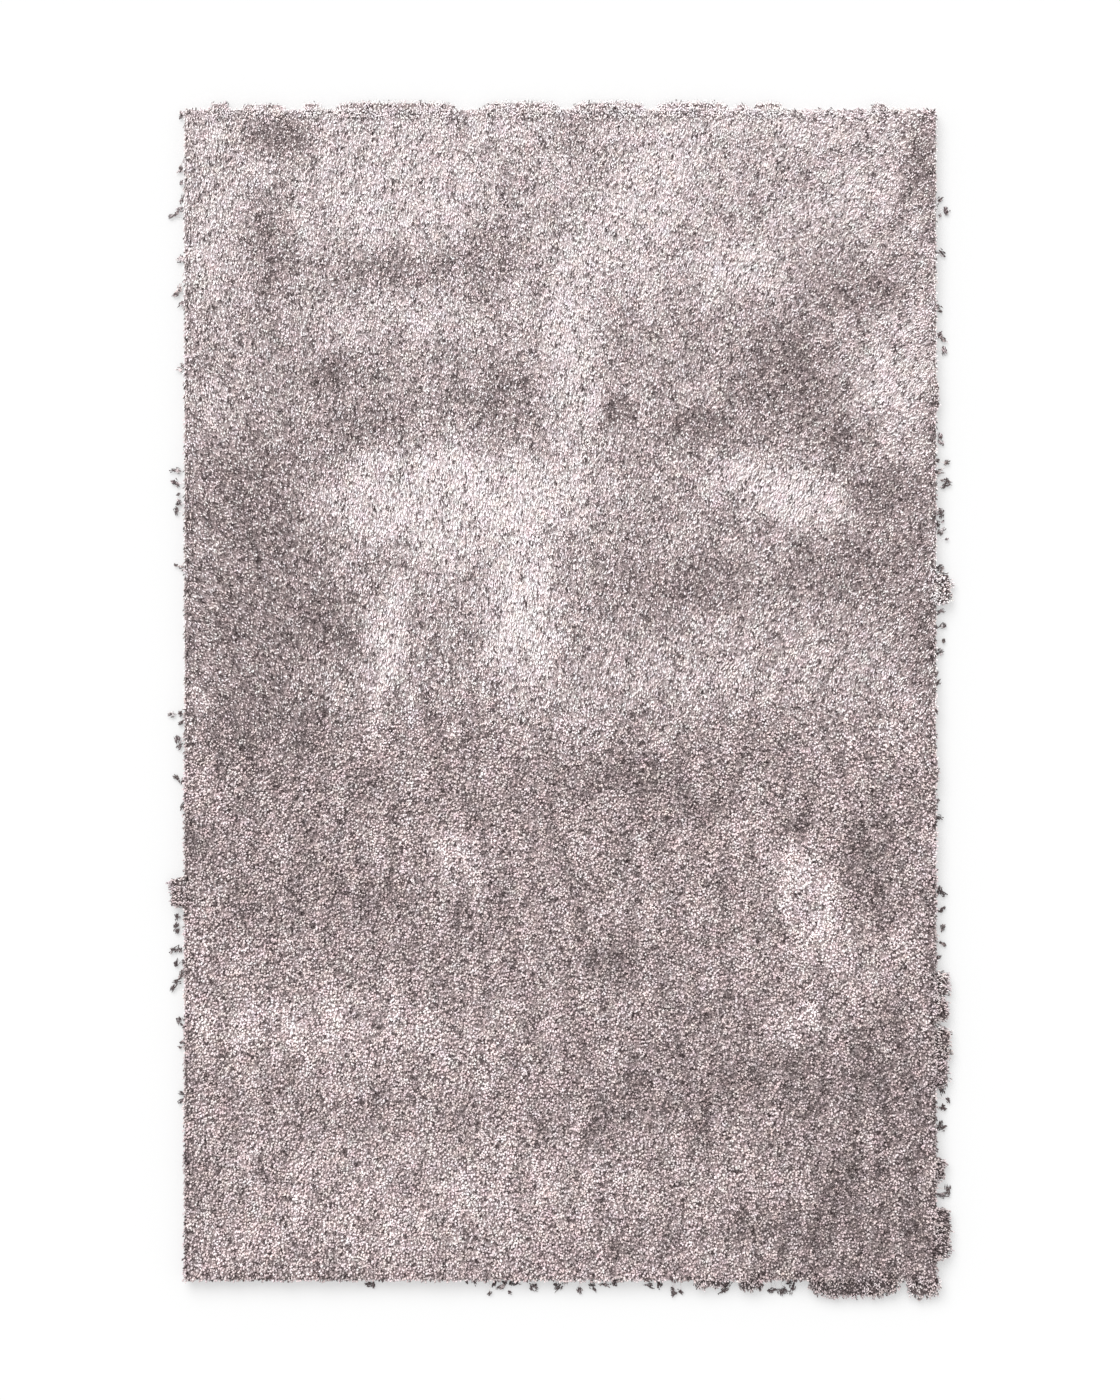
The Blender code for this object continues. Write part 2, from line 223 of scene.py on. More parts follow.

# Patches of painted sheen and shade, where the pile catches the light or lies in shade:
# the middle, half the width and half the length, the turn in degrees, and how bright.
Patch = namedtuple("Patch", "x y half_width half_length turn shine")
PATCHES = (
    Patch(-0.21, 0.41, 0.21, 0.08, 0, 1.6),
    Patch(-0.08, 0.18, 0.06, 0.12, 0, 1.4),
    Patch(-0.35, 0.12, 0.03, 0.12, -8, 1.0),
    Patch(-0.24, 0.29, 0.06, 0.05, 0, 0.6),
    Patch(0.02, 0.70, 0.05, 0.19, 0, 0.8),
    Patch(0.14, 0.98, 0.07, 0.18, -43, 0.7),
    Patch(0.18, 0.86, 0.04, 0.05, 0, 0.4),
    Patch(0.35, 0.87, 0.07, 0.05, 0, 0.8),
    Patch(0.45, 0.42, 0.12, 0.04, -19, 1.3),
    Patch(-0.36, 1.03, 0.18, 0.11, 0, 0.6),
    Patch(0.05, 1.18, 0.60, 0.05, 0, 0.4),
    Patch(-0.30, 0.77, 0.20, 0.04, 0, 0.4),
    Patch(-0.70, 0.60, 0.04, 0.03, 0, 0.4),
    Patch(-0.71, 0.97, 0.05, 0.18, 0, 0.4),
    Patch(0.50, 1.00, 0.09, 0.04, 0, 0.3),
    Patch(0.60, 1.04, 0.05, 0.05, 0, 0.4),
    Patch(0.67, 0.65, 0.06, 0.12, -8, 0.7),
    Patch(0.30, 0.05, 0.22, 0.06, 0, 0.2),
    Patch(0.50, -0.40, 0.05, 0.16, 30, 0.5),
    Patch(-0.21, -0.33, 0.04, 0.05, 0, 0.5),
    Patch(-0.48, -0.66, 0.28, 0.07, 0, 0.3),
    Patch(0.49, -0.66, 0.06, 0.04, 0, 0.3),
    Patch(-0.30, -1.00, 0.30, 0.12, 0, 0.2),
    Patch(-0.56, 1.14, 0.07, 0.04, 0, -0.8),
    Patch(-0.58, 0.91, 0.04, 0.10, 0, -0.5),
    Patch(0.02, 1.16, 0.06, 0.03, 0, -0.6),
    Patch(-0.12, 0.93, 0.03, 0.04, 0, -0.5),
    Patch(-0.31, 0.88, 0.16, 0.03, 0, -0.5),
    Patch(-0.46, 0.66, 0.08, 0.03, 0, -0.4),
    Patch(-0.40, 0.55, 0.07, 0.03, 0, -0.4),
    Patch(-0.11, 0.61, 0.05, 0.08, 0, -0.3),
    Patch(0.11, 0.58, 0.03, 0.03, 0, -0.7),
    Patch(0.28, 0.56, 0.06, 0.03, 0, -0.5),
    Patch(0.45, 0.66, 0.09, 0.11, 0, -0.5),
    Patch(0.60, 0.83, 0.08, 0.05, 0, -0.5),
    Patch(0.73, 1.10, 0.03, 0.10, 0, -0.7),
    Patch(0.58, 0.53, 0.06, 0.04, 0, -0.5),
    Patch(0.67, 0.41, 0.08, 0.05, 0, -0.5),
    Patch(0.60, 0.27, 0.14, 0.08, 0, -0.4),
    Patch(-0.62, 0.42, 0.13, 0.12, 0, -0.4),
    Patch(-0.60, 0.12, 0.13, 0.20, 0, -0.4),
    Patch(-0.48, 0.15, 0.05, 0.06, 0, -0.4),
    Patch(-0.60, -0.06, 0.10, 0.07, 0, -0.2),
    Patch(0.25, 0.23, 0.14, 0.06, 0, -0.4),
    Patch(0.13, -0.16, 0.10, 0.04, 0, -0.3),
    Patch(0.29, -0.21, 0.06, 0.03, 0, -0.3),
    Patch(0.47, -0.25, 0.03, 0.03, 0, -0.4),
    Patch(0.62, -0.34, 0.05, 0.11, 0, -0.3),
    Patch(0.73, 0.10, 0.03, 0.10, 0, -0.4),
    Patch(-0.49, -0.40, 0.18, 0.12, 0, -0.1),
    Patch(0.64, -1.08, 0.22, 0.16, 0, -0.3),
    Patch(0.62, -0.78, 0.14, 0.12, 0, -0.3),
    Patch(0.25, -0.78, 0.20, 0.10, 0, -0.2),
    Patch(0.11, -0.54, 0.05, 0.04, 0, -0.3),
)
PATCH_EDGE = 3  # the more, the sharper the patches end
PATCH_FADE = 0.7  # the more, the smaller they are
SHINE_LEAST, SHINE_MOST = -1.2, 1.6
FAR_SHINE = 0.32  # more painted sheen towards the far end
FAR_FROM, FAR_TO = 0.55, 1.20

# What sways the patches' outlines to and fro, in x and in y: waves with a size, how
# closely they repeat in the other direction, and how closely in their own
Sway = namedtuple("Sway", "size rate own_rate")
X_SWAYS = (Sway(0.008, 37, 13), Sway(0.004, 91, -40))
Y_SWAYS = (Sway(0.010, 43, 17), Sway(0.008, 111, 30))
SWAY_BEND = 2  # how much the first of them are bent

# A yarn's tone with the pile's painted sheen and shade, from 0 for dark to 1 for pale
MIDDLE_TONE = 0.44
SHINE_TONE = 0.57  # how much it changes with the pile's painted sheen and shade
# Streaks of painted sheen along the way the pile is brushed
STREAK_SIZE, FINE_STREAK_SIZE = 0.032, 0.011
STREAK_WIDTH = 0.28  # to its length
STREAK_TONE = 0.95
STREAK_SHINE, FINE_STREAK_SHINE = 0.7, 1.9  # how much more they show where it shines
CLUMP_TONE = 0.5
ODD_TONES = (-1.0, 0.9)  # how single yarns differ, in shares of ODD
ODD_RISE = 0.5  # makes up for the few dark yarns
DARK_DEPTH = 4.6  # how dark those are
DARK_RARE = 8.0  # the more, the fewer they are
PARTED_SHADE = 0.9  # painted shade: how much darker yarns are where the pile is parted
PARTED_SHORT = 0.25  # how much shorter
PARTED_CLOSED = 0.6  # how much the pile is closed again where it shines
ROOT_SHADE = 0.5  # painted shade: a yarn's colour at its root, to that at its tip
STRAND_SIZE, STRAND_TONE = 0.0020, 0.6  # of the strands in a yarn
FIBRE_SIZE = 0.0008
YARN_ROUGH = 0.62
PALE_SMOOTH = 0.22  # how much less rough the palest yarn is

# The pile below the yarns' tips, as one dense mat
BASE_INSET = 0.003  # from the cloth's edge
BASE_SHOULDER = 0.002  # how much lower its rim is
BASE_BUMPS = 0.0015  # their height
BASE_WAVES = ((210, 60), (-45, 190))  # how closely the bumps repeat in x and y
BASE_STEP = 0.022
CLEAR = 0.0003  # between the mat and the cloth
SHARP_ANGLE = 40  # degrees, from which on two faces meet in a crease
DEEP_TUFT_SIZE = 0.0028
DEEP_TUFT_WIDTH = 0.25  # to its height
DEEP_TUFT_EDGE = 6  # the more, the sharper the tufts are
DEEP_TUFT_GAPS = 2.1  # the more, the wider the painted shade in the gaps between them

# Pairs of values for the mat, where the pile's tone with its painted sheen and shade is 0 and
# where it is 1
DEEP_LIGHT = (0.50, 1.10)  # how light its tufts are, with the painted sheen
DEEP_PALE = (-0.5, 0.7)  # how much pale yarn and painted sheen is in them
DEEP_HOLES = (1.15, 0.45)  # how dark its holes are, with painted shade

# The small holes where the pile is parted, darkened with painted shade
HOLE_SIZE = 0.011
HOLE_WIDTH = 0.8  # to its length
HOLE_LEVEL = 0.395  # the more, the more holes
HOLE_EDGE = 10.0  # the more, the sharper

# Colours in linear light
# The dark yarn also paints the shade at roots, in holes, gaps and dark patches
DARK_YARN_AND_SHADE = (0.058, 0.036, 0.037, 1)
GREY_YARN = (0.640, 0.535, 0.535, 1)
# The pale yarn also paints the pile's sheen
PALE_YARN_AND_SHEEN = (0.985, 0.915, 0.920, 1)
YARN_TINTS = (0.24, 0.14, 0.14)  # how much its red, green and blue vary
TINT_SIZE = 0.024
CLOTH_COLOUR = (0.36, 0.31, 0.27, 1)
CLOTH_DARK = (0.20, 0.17, 0.145, 1)
WEAVE_STEP = 0.0032
UNEVEN_SIZE = 0.020  # of its paler and darker places
THREADS_SHOW, UNEVEN_SHOWS = 0.7, 0.4

# The photo is taken from straight above. Its height spans this much at this level.
PHOTO_SPAN = 2.832
PHOTO_LEVEL = 0.030
LENS_MM = 85
SENSOR_MM = 36
SUN_FROM = (-0.40, 0.85, 1.05)
SUN_STRENGTH = 3.15
SUN_SOFTNESS = 42  # degrees
SKY_STRENGTH = 1.0
FLOOR_SIZE = 30
FLOOR_DROP = 0.0005  # keeps it off the cloth's underside
FLOOR_COLOUR = (0.325, 0.325, 0.325, 1)
FLOOR_GLOW = 0.440  # the floor is a lit table, so shadows on it are pale
WHITE = (1, 1, 1, 1)
MID_GREY = (0.5, 0.5, 0.5)  # the middle of a noise's colours


class Value:
    """A node's output, with Python's arithmetic on it."""

    def __init__(self, nodes, socket):
        self.nodes = nodes
        self.socket = socket

    def __add__(self, other):
        return self.nodes.math("ADD", self, other)

    def __sub__(self, other):
        return self.nodes.math("SUBTRACT", self, other)

    def __mul__(self, other):
        return self.nodes.math("MULTIPLY", self, other)

    def __rsub__(self, other):
        return self.nodes.math("SUBTRACT", other, self)

    __radd__ = __add__
    __rmul__ = __mul__


class Nodes:
    """Adds nodes to one tree."""

    def __init__(self, tree):
        self.tree = tree

    def pick(self, sockets, key):
        """A socket by its place, or by its name among those in use."""
        if isinstance(key, int):
            return sockets[key]
        return next(s for s in sockets if s.name == key and s.enabled)

    def add(self, kind, settings, inputs, output=0):
        """A node of a kind, with its settings and then its inputs' values or links."""
        node = self.tree.nodes.new(kind)
        for name, value in settings.items():
            setattr(node, name, value)
        for key, value in inputs.items():
            socket = self.pick(node.inputs, key)
            if isinstance(value, Value):
                self.tree.links.new(value.socket, socket)
            else:
                socket.default_value = value
        return Value(self, self.pick(node.outputs, output))

    def math(self, operation, a, b):
        return self.add("ShaderNodeMath", {"operation": operation}, {0: a, 1: b})

    def clamped(self, value):
        return self.add("ShaderNodeClamp", {}, {"Value": value})

    def vector(self, operation, a, b):
        return self.add("ShaderNodeVectorMath", {"operation": operation}, {0: a, 1: b})

    def scaled(self, vector, scale):
        settings = {"operation": "SCALE"}
        return self.add("ShaderNodeVectorMath", settings, {0: vector, "Scale": scale})

    def noise(self, place, size, detail, output="Fac"):
        inputs = {"Vector": place, "Scale": 1 / size, "Detail": detail}
        return self.add("ShaderNodeTexNoise", {}, inputs, output)

    def mixed(self, share, a, b):
        inputs = {"Factor": share, "A": a, "B": b}
        return self.add("ShaderNodeMix", {"data_type": "RGBA"}, inputs, "Result")

    def parted(self, place):
        """1 in the small dark holes where the pile is parted, and 0 elsewhere."""
        flat = self.vector("MULTIPLY", place, (1, HOLE_WIDTH, 0))
        holes = HOLE_LEVEL - self.noise(flat, HOLE_SIZE, detail=1)
        return self.clamped(holes * HOLE_EDGE)


def smooth(value, start, end):
    """Rises smoothly from 0 at the start to 1 at the end."""
    t = np.clip((value - start) / (end - start), 0, 1)
    return t * t * (3 - 2 * t)


def between(pair, share):
    """A value on the way from the first of a pair to the second."""
    first, second = pair
    return first + (second - first) * share


def waves(place, sizes):
    """The sum of waves at places along a line."""
    return sum(size * np.sin(rate * place + shift) for size, rate, shift in sizes)


# The lie of the pile


def brushed(x, y):
    """How far the pile is brushed over, from 0 where it stands up."""
    return smooth(y + waves(x, UPPER_WAVES), UPPER_FROM, UPPER_TO)


def swayed(place, other, sways):
    """One coordinate of places, moved to and fro by waves along the other one."""
    bent, plain = sways
    bend = SWAY_BEND * np.sin(bent.own_rate * place)
    moved = place + bent.size * np.sin(bent.rate * other + bend)
    return moved + plain.size * np.sin(plain.rate * other + plain.own_rate * place)


def shine_at(x, y):
    """How much the pile catches the light, painted into the yarns' colour as sheen and shade.
    """
    shine = between(SHINE, brushed(x, y))
    shine = shine + FAR_SHINE * smooth(y, FAR_FROM, FAR_TO)
    x, y = swayed(x, y, X_SWAYS), swayed(y, x, Y_SWAYS)
    for p in PATCHES:
        turn = math.radians(p.turn)
        across = (x - p.x) * math.cos(turn) + (y - p.y) * math.sin(turn)
        along = (y - p.y) * math.cos(turn) - (x - p.x) * math.sin(turn)
        off = np.hypot(across / p.half_width, along / p.half_length)
        shine = shine + p.shine * np.exp(-(off**PATCH_EDGE) * PATCH_FADE)
    return np.clip(shine, SHINE_LEAST, SHINE_MOST)


def streak_turn(x, y):
    """The angle of the pile's streaks from the rug's length, to the right at the top."""
    off = np.clip(x - TURN_FROM, 0, None) / TURN_WIDTH
    right = math.radians(STREAK_TURN) * off**TURN_CURVE
    far_turn, more = (math.radians(turn) for turn in LEFT_TURNS)
    left = far_turn + more * smooth(y, LEFT_FAR, LEFT_NEARER)
    return right - left * smooth(x, LEFT_FROM, LEFT_TO)


def pile_top(x, y):
    """The height of the pile, which is lower where it is brushed down."""
    sink = PILE_SINK * brushed(x, y) * np.clip(shine_at(x, y), 0, 1)
    return CLOTH_THICK + PILE_HEIGHT - sink


def laid(roots, ends, **others):
    """What the yarn tree needs of yarns from the given roots to their ends."""
    travel = ends - roots
    length = np.linalg.norm(travel, axis=1)
    return {"direction": travel / length[:, None], "length": length, **others}


def pile_lie(x, y, chance):
    """The roots of the yarns whose ends are over the given places, and how they lie."""
    upper = brushed(x, y)
    shine = shine_at(x, y)
    lean = np.clip(between(LEAN, upper) + LEAN_WITH_SHINE * shine, 0, None)
    turn = streak_turn(x, y) * upper
    margin = chance.uniform(*ROOT_MARGIN, len(x))
    root_x = np.clip(x + lean * np.sin(turn), LEFT + margin, RIGHT - margin)
    root_y = np.clip(y + lean * np.cos(turn), NEAR + margin, FAR - margin)
    roots = np.stack([root_x, root_y, np.full(len(x), CLOTH_THICK)], axis=1)
    ends = np.stack([x, y, pile_top(x, y)], axis=1)
    from_sides = np.minimum(np.minimum(x - LEFT, RIGHT - x), y - NEAR)
    inside = smooth(np.minimum(from_sides, FAR - y), 0, NEAT_EDGE)
    shade = EDGE_SHADE * (1 - smooth(from_sides, 0, NEAT_EDGE))
    yarns = laid(
        roots,
        ends,
        thick=between(THICK, upper),
        loose=LOOSE * between((EDGE_LOOSE, 1), inside),
        clumps=between(CLUMPS, upper) * inside,
        shine=shine - shade,
        odd=between(ODD, upper),
        sideways=turn / math.radians(STREAK_TURN),
    )
    return roots, yarns


# Yarns


def yarn_tree():
    """Geometry nodes that set a yarn on each point of a mesh."""
    tree = bpy.data.node_groups.new("yarns", "GeometryNodeTree")
    sizes = {"Yarn width": YARN_WIDTH, "Jitter": JITTER}
    tree.interface.new_socket("Geometry", in_out="OUTPUT", socket_type="NodeSocketGeometry")
    tree.interface.new_socket("Points", in_out="INPUT", socket_type="NodeSocketGeometry")
    for name, value in sizes.items():
        socket = tree.interface.new_socket(name, in_out="INPUT", socket_type="NodeSocketFloat")
        socket.default_value = value
    tree.interface.new_socket("Seed", in_out="INPUT", socket_type="NodeSocketInt")
    tree.interface.new_socket("Material", in_out="INPUT", socket_type="NodeSocketMaterial")
    group = tree.nodes.new("NodeGroupInput")
    nodes = Nodes(tree)
    given = {s.name: Value(nodes, s) for s in group.outputs if s.name}
    place = nodes.add("GeometryNodeInputPosition", {}, {})

    def attribute(name, kind="FLOAT"):
        settings = {"data_type": kind}
        return nodes.add("GeometryNodeInputNamedAttribute", settings, {"Name": name})

    def stored(geometry, name, value):
        inputs = {"Geometry": geometry, "Name": name, "Value": value}
        return nodes.add("GeometryNodeStoreNamedAttribute", {"data_type": "FLOAT"}, inputs)

    def chance(low, high, draw, kind="FLOAT"):
        inputs = {"Min": low, "Max": high, "Seed": given["Seed"] + draw}
        return nodes.add("FunctionNodeRandomValue", {"data_type": kind}, inputs, "Value")

    def stray(draw):
        """A random direction."""
        return chance((-1, -1, -1), (1, 1, 1), draw, "FLOAT_VECTOR")

    def streaks(size, detail):
        """Soft streaks of painted sheen that run the way the pile is brushed."""
        ways = []
        for turn in (0, -STREAK_TURN, STREAK_TURN):
            inputs = {"Vector": place, "Angle": math.radians(turn)}
            turned = nodes.add("ShaderNodeVectorRotate", {"rotation_type": "Z_AXIS"}, inputs)
            drawn_out = nodes.vector("MULTIPLY", turned, (1, STREAK_WIDTH, 1))
            ways.append(nodes.noise(drawn_out, size, detail))
        ahead, left, right = ways
        sideways = attribute("sideways")
        to_right = (right - ahead) * nodes.clamped(sideways)
        to_left = (left - ahead) * nodes.clamped(0.0 - sideways)
        return ahead + to_right + to_left - 0.5

    # One yarn, a unit long and wide, widens from its root to its cut end
    cone = {"Vertices": YARN_SIDES, "Radius Top": 0.5, "Radius Bottom": 0.0, "Depth": 1.0}
    yarn = nodes.add("GeometryNodeMeshCone", {"fill_type": "NGON"}, cone, "Mesh")
    yarn = nodes.add("GeometryNodeSetShadeSmooth", {}, {"Geometry": yarn})
    height = nodes.add("ShaderNodeSeparateXYZ", {}, {"Vector": place}, "Z")
    yarn = stored(yarn, "along", height)

    # Where the yarns stand and which way they lean
    points = nodes.add("GeometryNodeMeshToPoints", {}, {"Mesh": given["Points"]})
    flat = nodes.vector("MULTIPLY", stray(1), (1, 1, 0))
    shift = nodes.scaled(flat, given["Jitter"])
    points = nodes.add("GeometryNodeSetPosition", {}, {"Geometry": points, "Offset": shift})
    small, large = (
        nodes.vector("SUBTRACT", nodes.noise(place, size, 1, "Color"), MID_GREY)
        for size in CLUMP_SIZES
    )
    clump = nodes.scaled(nodes.vector("ADD", small, large), attribute("clumps"))
    strayed = nodes.scaled(stray(2), attribute("loose"))
    direction = nodes.vector("ADD", attribute("direction", "FLOAT_VECTOR"), clump)
    direction = nodes.vector("ADD", direction, strayed)

    # How bright each yarn is: its own tone, with painted sheen and shade from the pile's shine,
    # streaks and holes
    streaky, fine = streaks(STREAK_SIZE, detail=3), streaks(FINE_STREAK_SIZE, detail=1)
    clumped = nodes.noise(place, min(CLUMP_SIZES), detail=2) - 0.5
    few_dark = nodes.math("POWER", chance(0.0, 1.0, 4), DARK_RARE)
    odd = (chance(*ODD_TONES, 3) + ODD_RISE - few_dark * DARK_DEPTH) * attribute("odd")
    shine = fine * FINE_STREAK_SHINE + streaky * STREAK_SHINE + SHINE_TONE
    shine = attribute("shine") * shine
    travel = nodes.scaled(attribute("direction", "FLOAT_VECTOR"), attribute("length"))
    parted = nodes.parted(nodes.vector("ADD", place, travel))
    parted = parted * (1.0 - nodes.clamped(attribute("shine")) * PARTED_CLOSED)
    tone_and_shading = MIDDLE_TONE + shine + streaky * STREAK_TONE + clumped * CLUMP_TONE + odd
    # Painted shade darkens the yarns in the holes where the pile is parted
    points = stored(points, "tone_and_shading", nodes.clamped(tone_and_shading - parted * PARTED_SHADE))

    turned = {"Rotation": (0, 0, 0), "Vector": direction}
    leaning = nodes.add("FunctionNodeAlignRotationToVector", {"axis": "Z"}, turned)
    spin = {"Axis": (0, 0, 1), "Angle": chance(0.0, 2 * math.pi, 5)}
    spin = nodes.add("FunctionNodeAxisAngleToRotation", {}, spin)
    both = {"Rotation": leaning, "Rotate By": spin}
    rotation = nodes.add("FunctionNodeRotateRotation", {"rotation_space": "LOCAL"}, both)
    width = given["Yarn width"] * attribute("thick") * chance(*YARN_WIDTHS, 6)
    length = attribute("length") * chance(*YARN_LENGTHS, 7) * (1.0 - parted * PARTED_SHORT)
    scale = nodes.add("ShaderNodeCombineXYZ", {}, {"X": width, "Y": width, "Z": length})
    inputs = {"Points": points, "Instance": yarn, "Rotation": rotation, "Scale": scale}
    yarns = nodes.add("GeometryNodeInstanceOnPoints", {}, inputs)
    yarns = nodes.add("GeometryNodeRealizeInstances", {}, {"Geometry": yarns})
    for name in ("direction", "length", "thick", "loose", "clumps", "shine", "odd", "sideways"):
        yarns = nodes.add("GeometryNodeRemoveAttribute", {}, {"Geometry": yarns, "Name": name})
    inputs = {"Geometry": yarns, "Material": given["Material"]}
    yarns = nodes.add("GeometryNodeSetMaterial", {}, inputs)
    output = tree.nodes.new("NodeGroupOutput")
    tree.links.new(yarns.socket, output.inputs["Geometry"])
    return tree


def set_yarns(name, places, lie, tree, values):
    """A piece with a yarn at each place, as the lie says."""
    mesh = bpy.data.meshes.new(name)
    mesh.from_pydata(places.tolist(), [], [])
    for key, numbers in lie.items():
        if numbers.ndim == 2:
            layer = mesh.attributes.new(key, "FLOAT_VECTOR", "POINT")
            layer.data.foreach_set("vector", numbers.astype(np.float32).ravel())
        else:
            layer = mesh.attributes.new(key, "FLOAT", "POINT")
            layer.data.foreach_set("value", numbers.astype(np.float32))
    piece = bpy.data.objects.new(name, mesh)
    bpy.context.scene.collection.objects.link(piece)
    modifier = piece.modifiers.new("yarns", "NODES")
    modifier.node_group = tree
    identifiers = {
        item.name: item.identifier
        for item in tree.interface.items_tree
        if item.item_type == "SOCKET" and item.in_out == "INPUT"
    }
    for key, value in values.items():
        modifier[identifiers[key]] = value
    graph = bpy.context.evaluated_depsgraph_get()
    yarns = bpy.data.meshes.new_from_object(
        piece.evaluated_get(graph), preserve_all_data_layers=True, depsgraph=graph
    )
    piece.modifiers.remove(modifier)
    piece.data = yarns
    yarns.name = name
    lay_map(yarns)
    return piece


def lay_map(mesh):
    """A map with a cell for each yarn, from its root to its tip across the cell."""
    count = len(mesh.vertices) // YARN_POINTS
    along = np.zeros(len(mesh.vertices), np.float32)
    mesh.attributes["along"].data.foreach_get("value", along)
    point = np.zeros(len(mesh.loops), np.int32)
    mesh.loops.foreach_get("vertex_index", point)
    side = math.ceil(math.sqrt(count))
    yarn, corner = np.divmod(point, YARN_POINTS)
    own = along[:YARN_POINTS]
    down = np.full(YARN_POINTS, 0.5)
    cut_end = own > 0.5
    down[cut_end] = np.linspace(CELL_MARGIN, 1 - CELL_MARGIN, YARN_SIDES)
    across = CELL_MARGIN + (1 - 2 * CELL_MARGIN) * own - CELL_NOTCH * (down == 0.5) * cut_end
    layer = mesh.uv_layers.new(name="OFBake")
    cell = np.stack([yarn % side + across[corner], yarn // side + down[corner]], axis=1)
    layer.data.foreach_set("uv", (cell / side).astype(np.float32).ravel())


def strip_places(strip):
    """Staggered places over one lengthwise strip of the cloth."""
    columns = STRIPS * STRIP_COLUMNS
    first = strip * STRIP_COLUMNS
    column, row = np.meshgrid(np.arange(first, first + STRIP_COLUMNS), np.arange(ROWS))
    x = LEFT + CLOTH_WIDTH * (column + STAGGER / 2 + STAGGER * (row % 2)) / columns
    y = NEAR + CLOTH_LENGTH * (row + 0.5) / ROWS
    return x.ravel(), y.ravel()


def edge_places(side, along, out, height):
    """Places at the given distances along one side and out from the cloth's edge."""
    out_x, out_y = OUTWARDS[side]
    edge = {"left": LEFT, "right": RIGHT, "far": FAR, "near": NEAR}[side]
    x = edge + out_x * out if out_x else along
    y = edge + out_y * out if out_y else along
    return np.stack([x, y, height + 0 * x], axis=1)


def lock_out(lock, off):
    """How far a lock lies out, at a share of its half width off its middle."""
    uneven = 0.5 + waves(lock.middle + off * lock.half, LOCK_WAVES)
    taper = np.sqrt(1 - LOCK_TAPER * off**LOCK_SQUARE)
    return (lock.reach - FRAYED[lock.side] * uneven) * taper


def lock_top(share):
    """The height of a full lock, at a share of its way out."""
    fall = np.sqrt(1 - np.clip(share, 0, 1) ** 2)
    return FULL_LOCK_END + (CLOTH_THICK + PILE_HEIGHT - FULL_LOCK_END) * fall


def full_lock(lock, chance):
    """The yarns of a lock as thick as the pile, which come out of its mat."""
    back = LOCK_BACK[lock.side]
    count = round(2 * lock.half * lock.reach * (1 + back) * FULL_LOCK_YARNS)
    off, share = chance.uniform(-1, 1, count), chance.uniform(-back, 1, count)
    along = lock.middle + off * lock.half
    out, top = share * lock_out(lock, off), lock_top(share)
    foot = np.maximum(top - FULL_LOCK_DEEP, CLEAR)
    lean = FULL_LOCK_LEAN[lock.side]
    roots = edge_places(lock.side, along, out - max(lean, 0), foot)
    ends = edge_places(lock.side, along, out + min(lean, 0), top)
    yield roots, ends, 1.0, FULL_LOCK_SHINE[lock.side], LOOSE


def thin_lock(lock, chance):
    """The yarns of a few tufts darkened with painted shade, each lying one way, and of their
    thin stalks.
    """
    count = max(2, round(2 * lock.half * lock.reach * THIN_LOCK_TUFTS))
    off, share = chance.uniform(-TUFT_OFF, TUFT_OFF, count), chance.uniform(*TUFT_OUT, count)
    along = lock.middle + off * lock.half
    middle = edge_places(lock.side, along, lock_out(lock, off) * share, TUFT_LOW)
    angle = chance.uniform(0, 2 * math.pi, count)
    way = np.stack([np.cos(angle), np.sin(angle), 0 * angle], axis=1)
    way = way * chance.uniform(*TUFT_SIZES, (count, 1))
    shine = np.repeat(chance.uniform(*TUFT_SHINES, count), TUFT_YARNS)
    way, foot = (np.repeat(part, TUFT_YARNS, axis=0) for part in (way, middle))
    step = chance.uniform(-0.5, 0.5 - TUFT_YARN_LENGTH / TUFT_LENGTH, (len(foot), 1))
    spread = chance.normal(0, TUFT_SPREAD, foot.shape) * (1, 1, 0)
    size = np.linalg.norm(way, axis=1, keepdims=True)
    foot = foot + way * step * TUFT_LENGTH + spread * size
    rise = chance.uniform(*TUFT_YARN_RISE, (len(foot), 1)) * (0, 0, 1)
    yield foot, foot + (way + rise) * TUFT_YARN_LENGTH, 1.0, shine, 0.0
    along = np.repeat(along, TUFT_STALKS) + chance.normal(0, TUFT_SPREAD, count * TUFT_STALKS)
    inset = chance.uniform(*ROOT_MARGIN, len(along))
    roots = edge_places(lock.side, along, -inset, CLOTH_THICK)
    yield roots, np.repeat(middle, TUFT_STALKS, axis=0), STALK_THICK, STALK_SHINE, 0.0


def lock_yarns():
    """The roots of the locks' yarns and how they lie past the cloth's edges."""
    chance = np.random.default_rng(SEED)
    parts = [part for lock in FULL_LOCKS for part in full_lock(lock, chance)]
    parts += [part for lock in THIN_LOCKS for part in thin_lock(lock, chance)]
    parts = [
        (roots, ends, *(np.broadcast_to(value, len(roots)) for value in values))
        for roots, ends, *values in parts
    ]
    roots, ends, thick, shine, loose = map(np.concatenate, zip(*parts))
    place = roots[:, 0], roots[:, 1]
    yarns = laid(
        roots,
        ends,
        thick=thick,
        loose=loose,
        clumps=np.zeros(len(roots)),
        shine=shine_at(*place) + shine,
        odd=between(ODD, brushed(*place)),
        sideways=np.zeros(len(roots)),
    )
    return roots, yarns


# The mat below the tips and the ground cloth


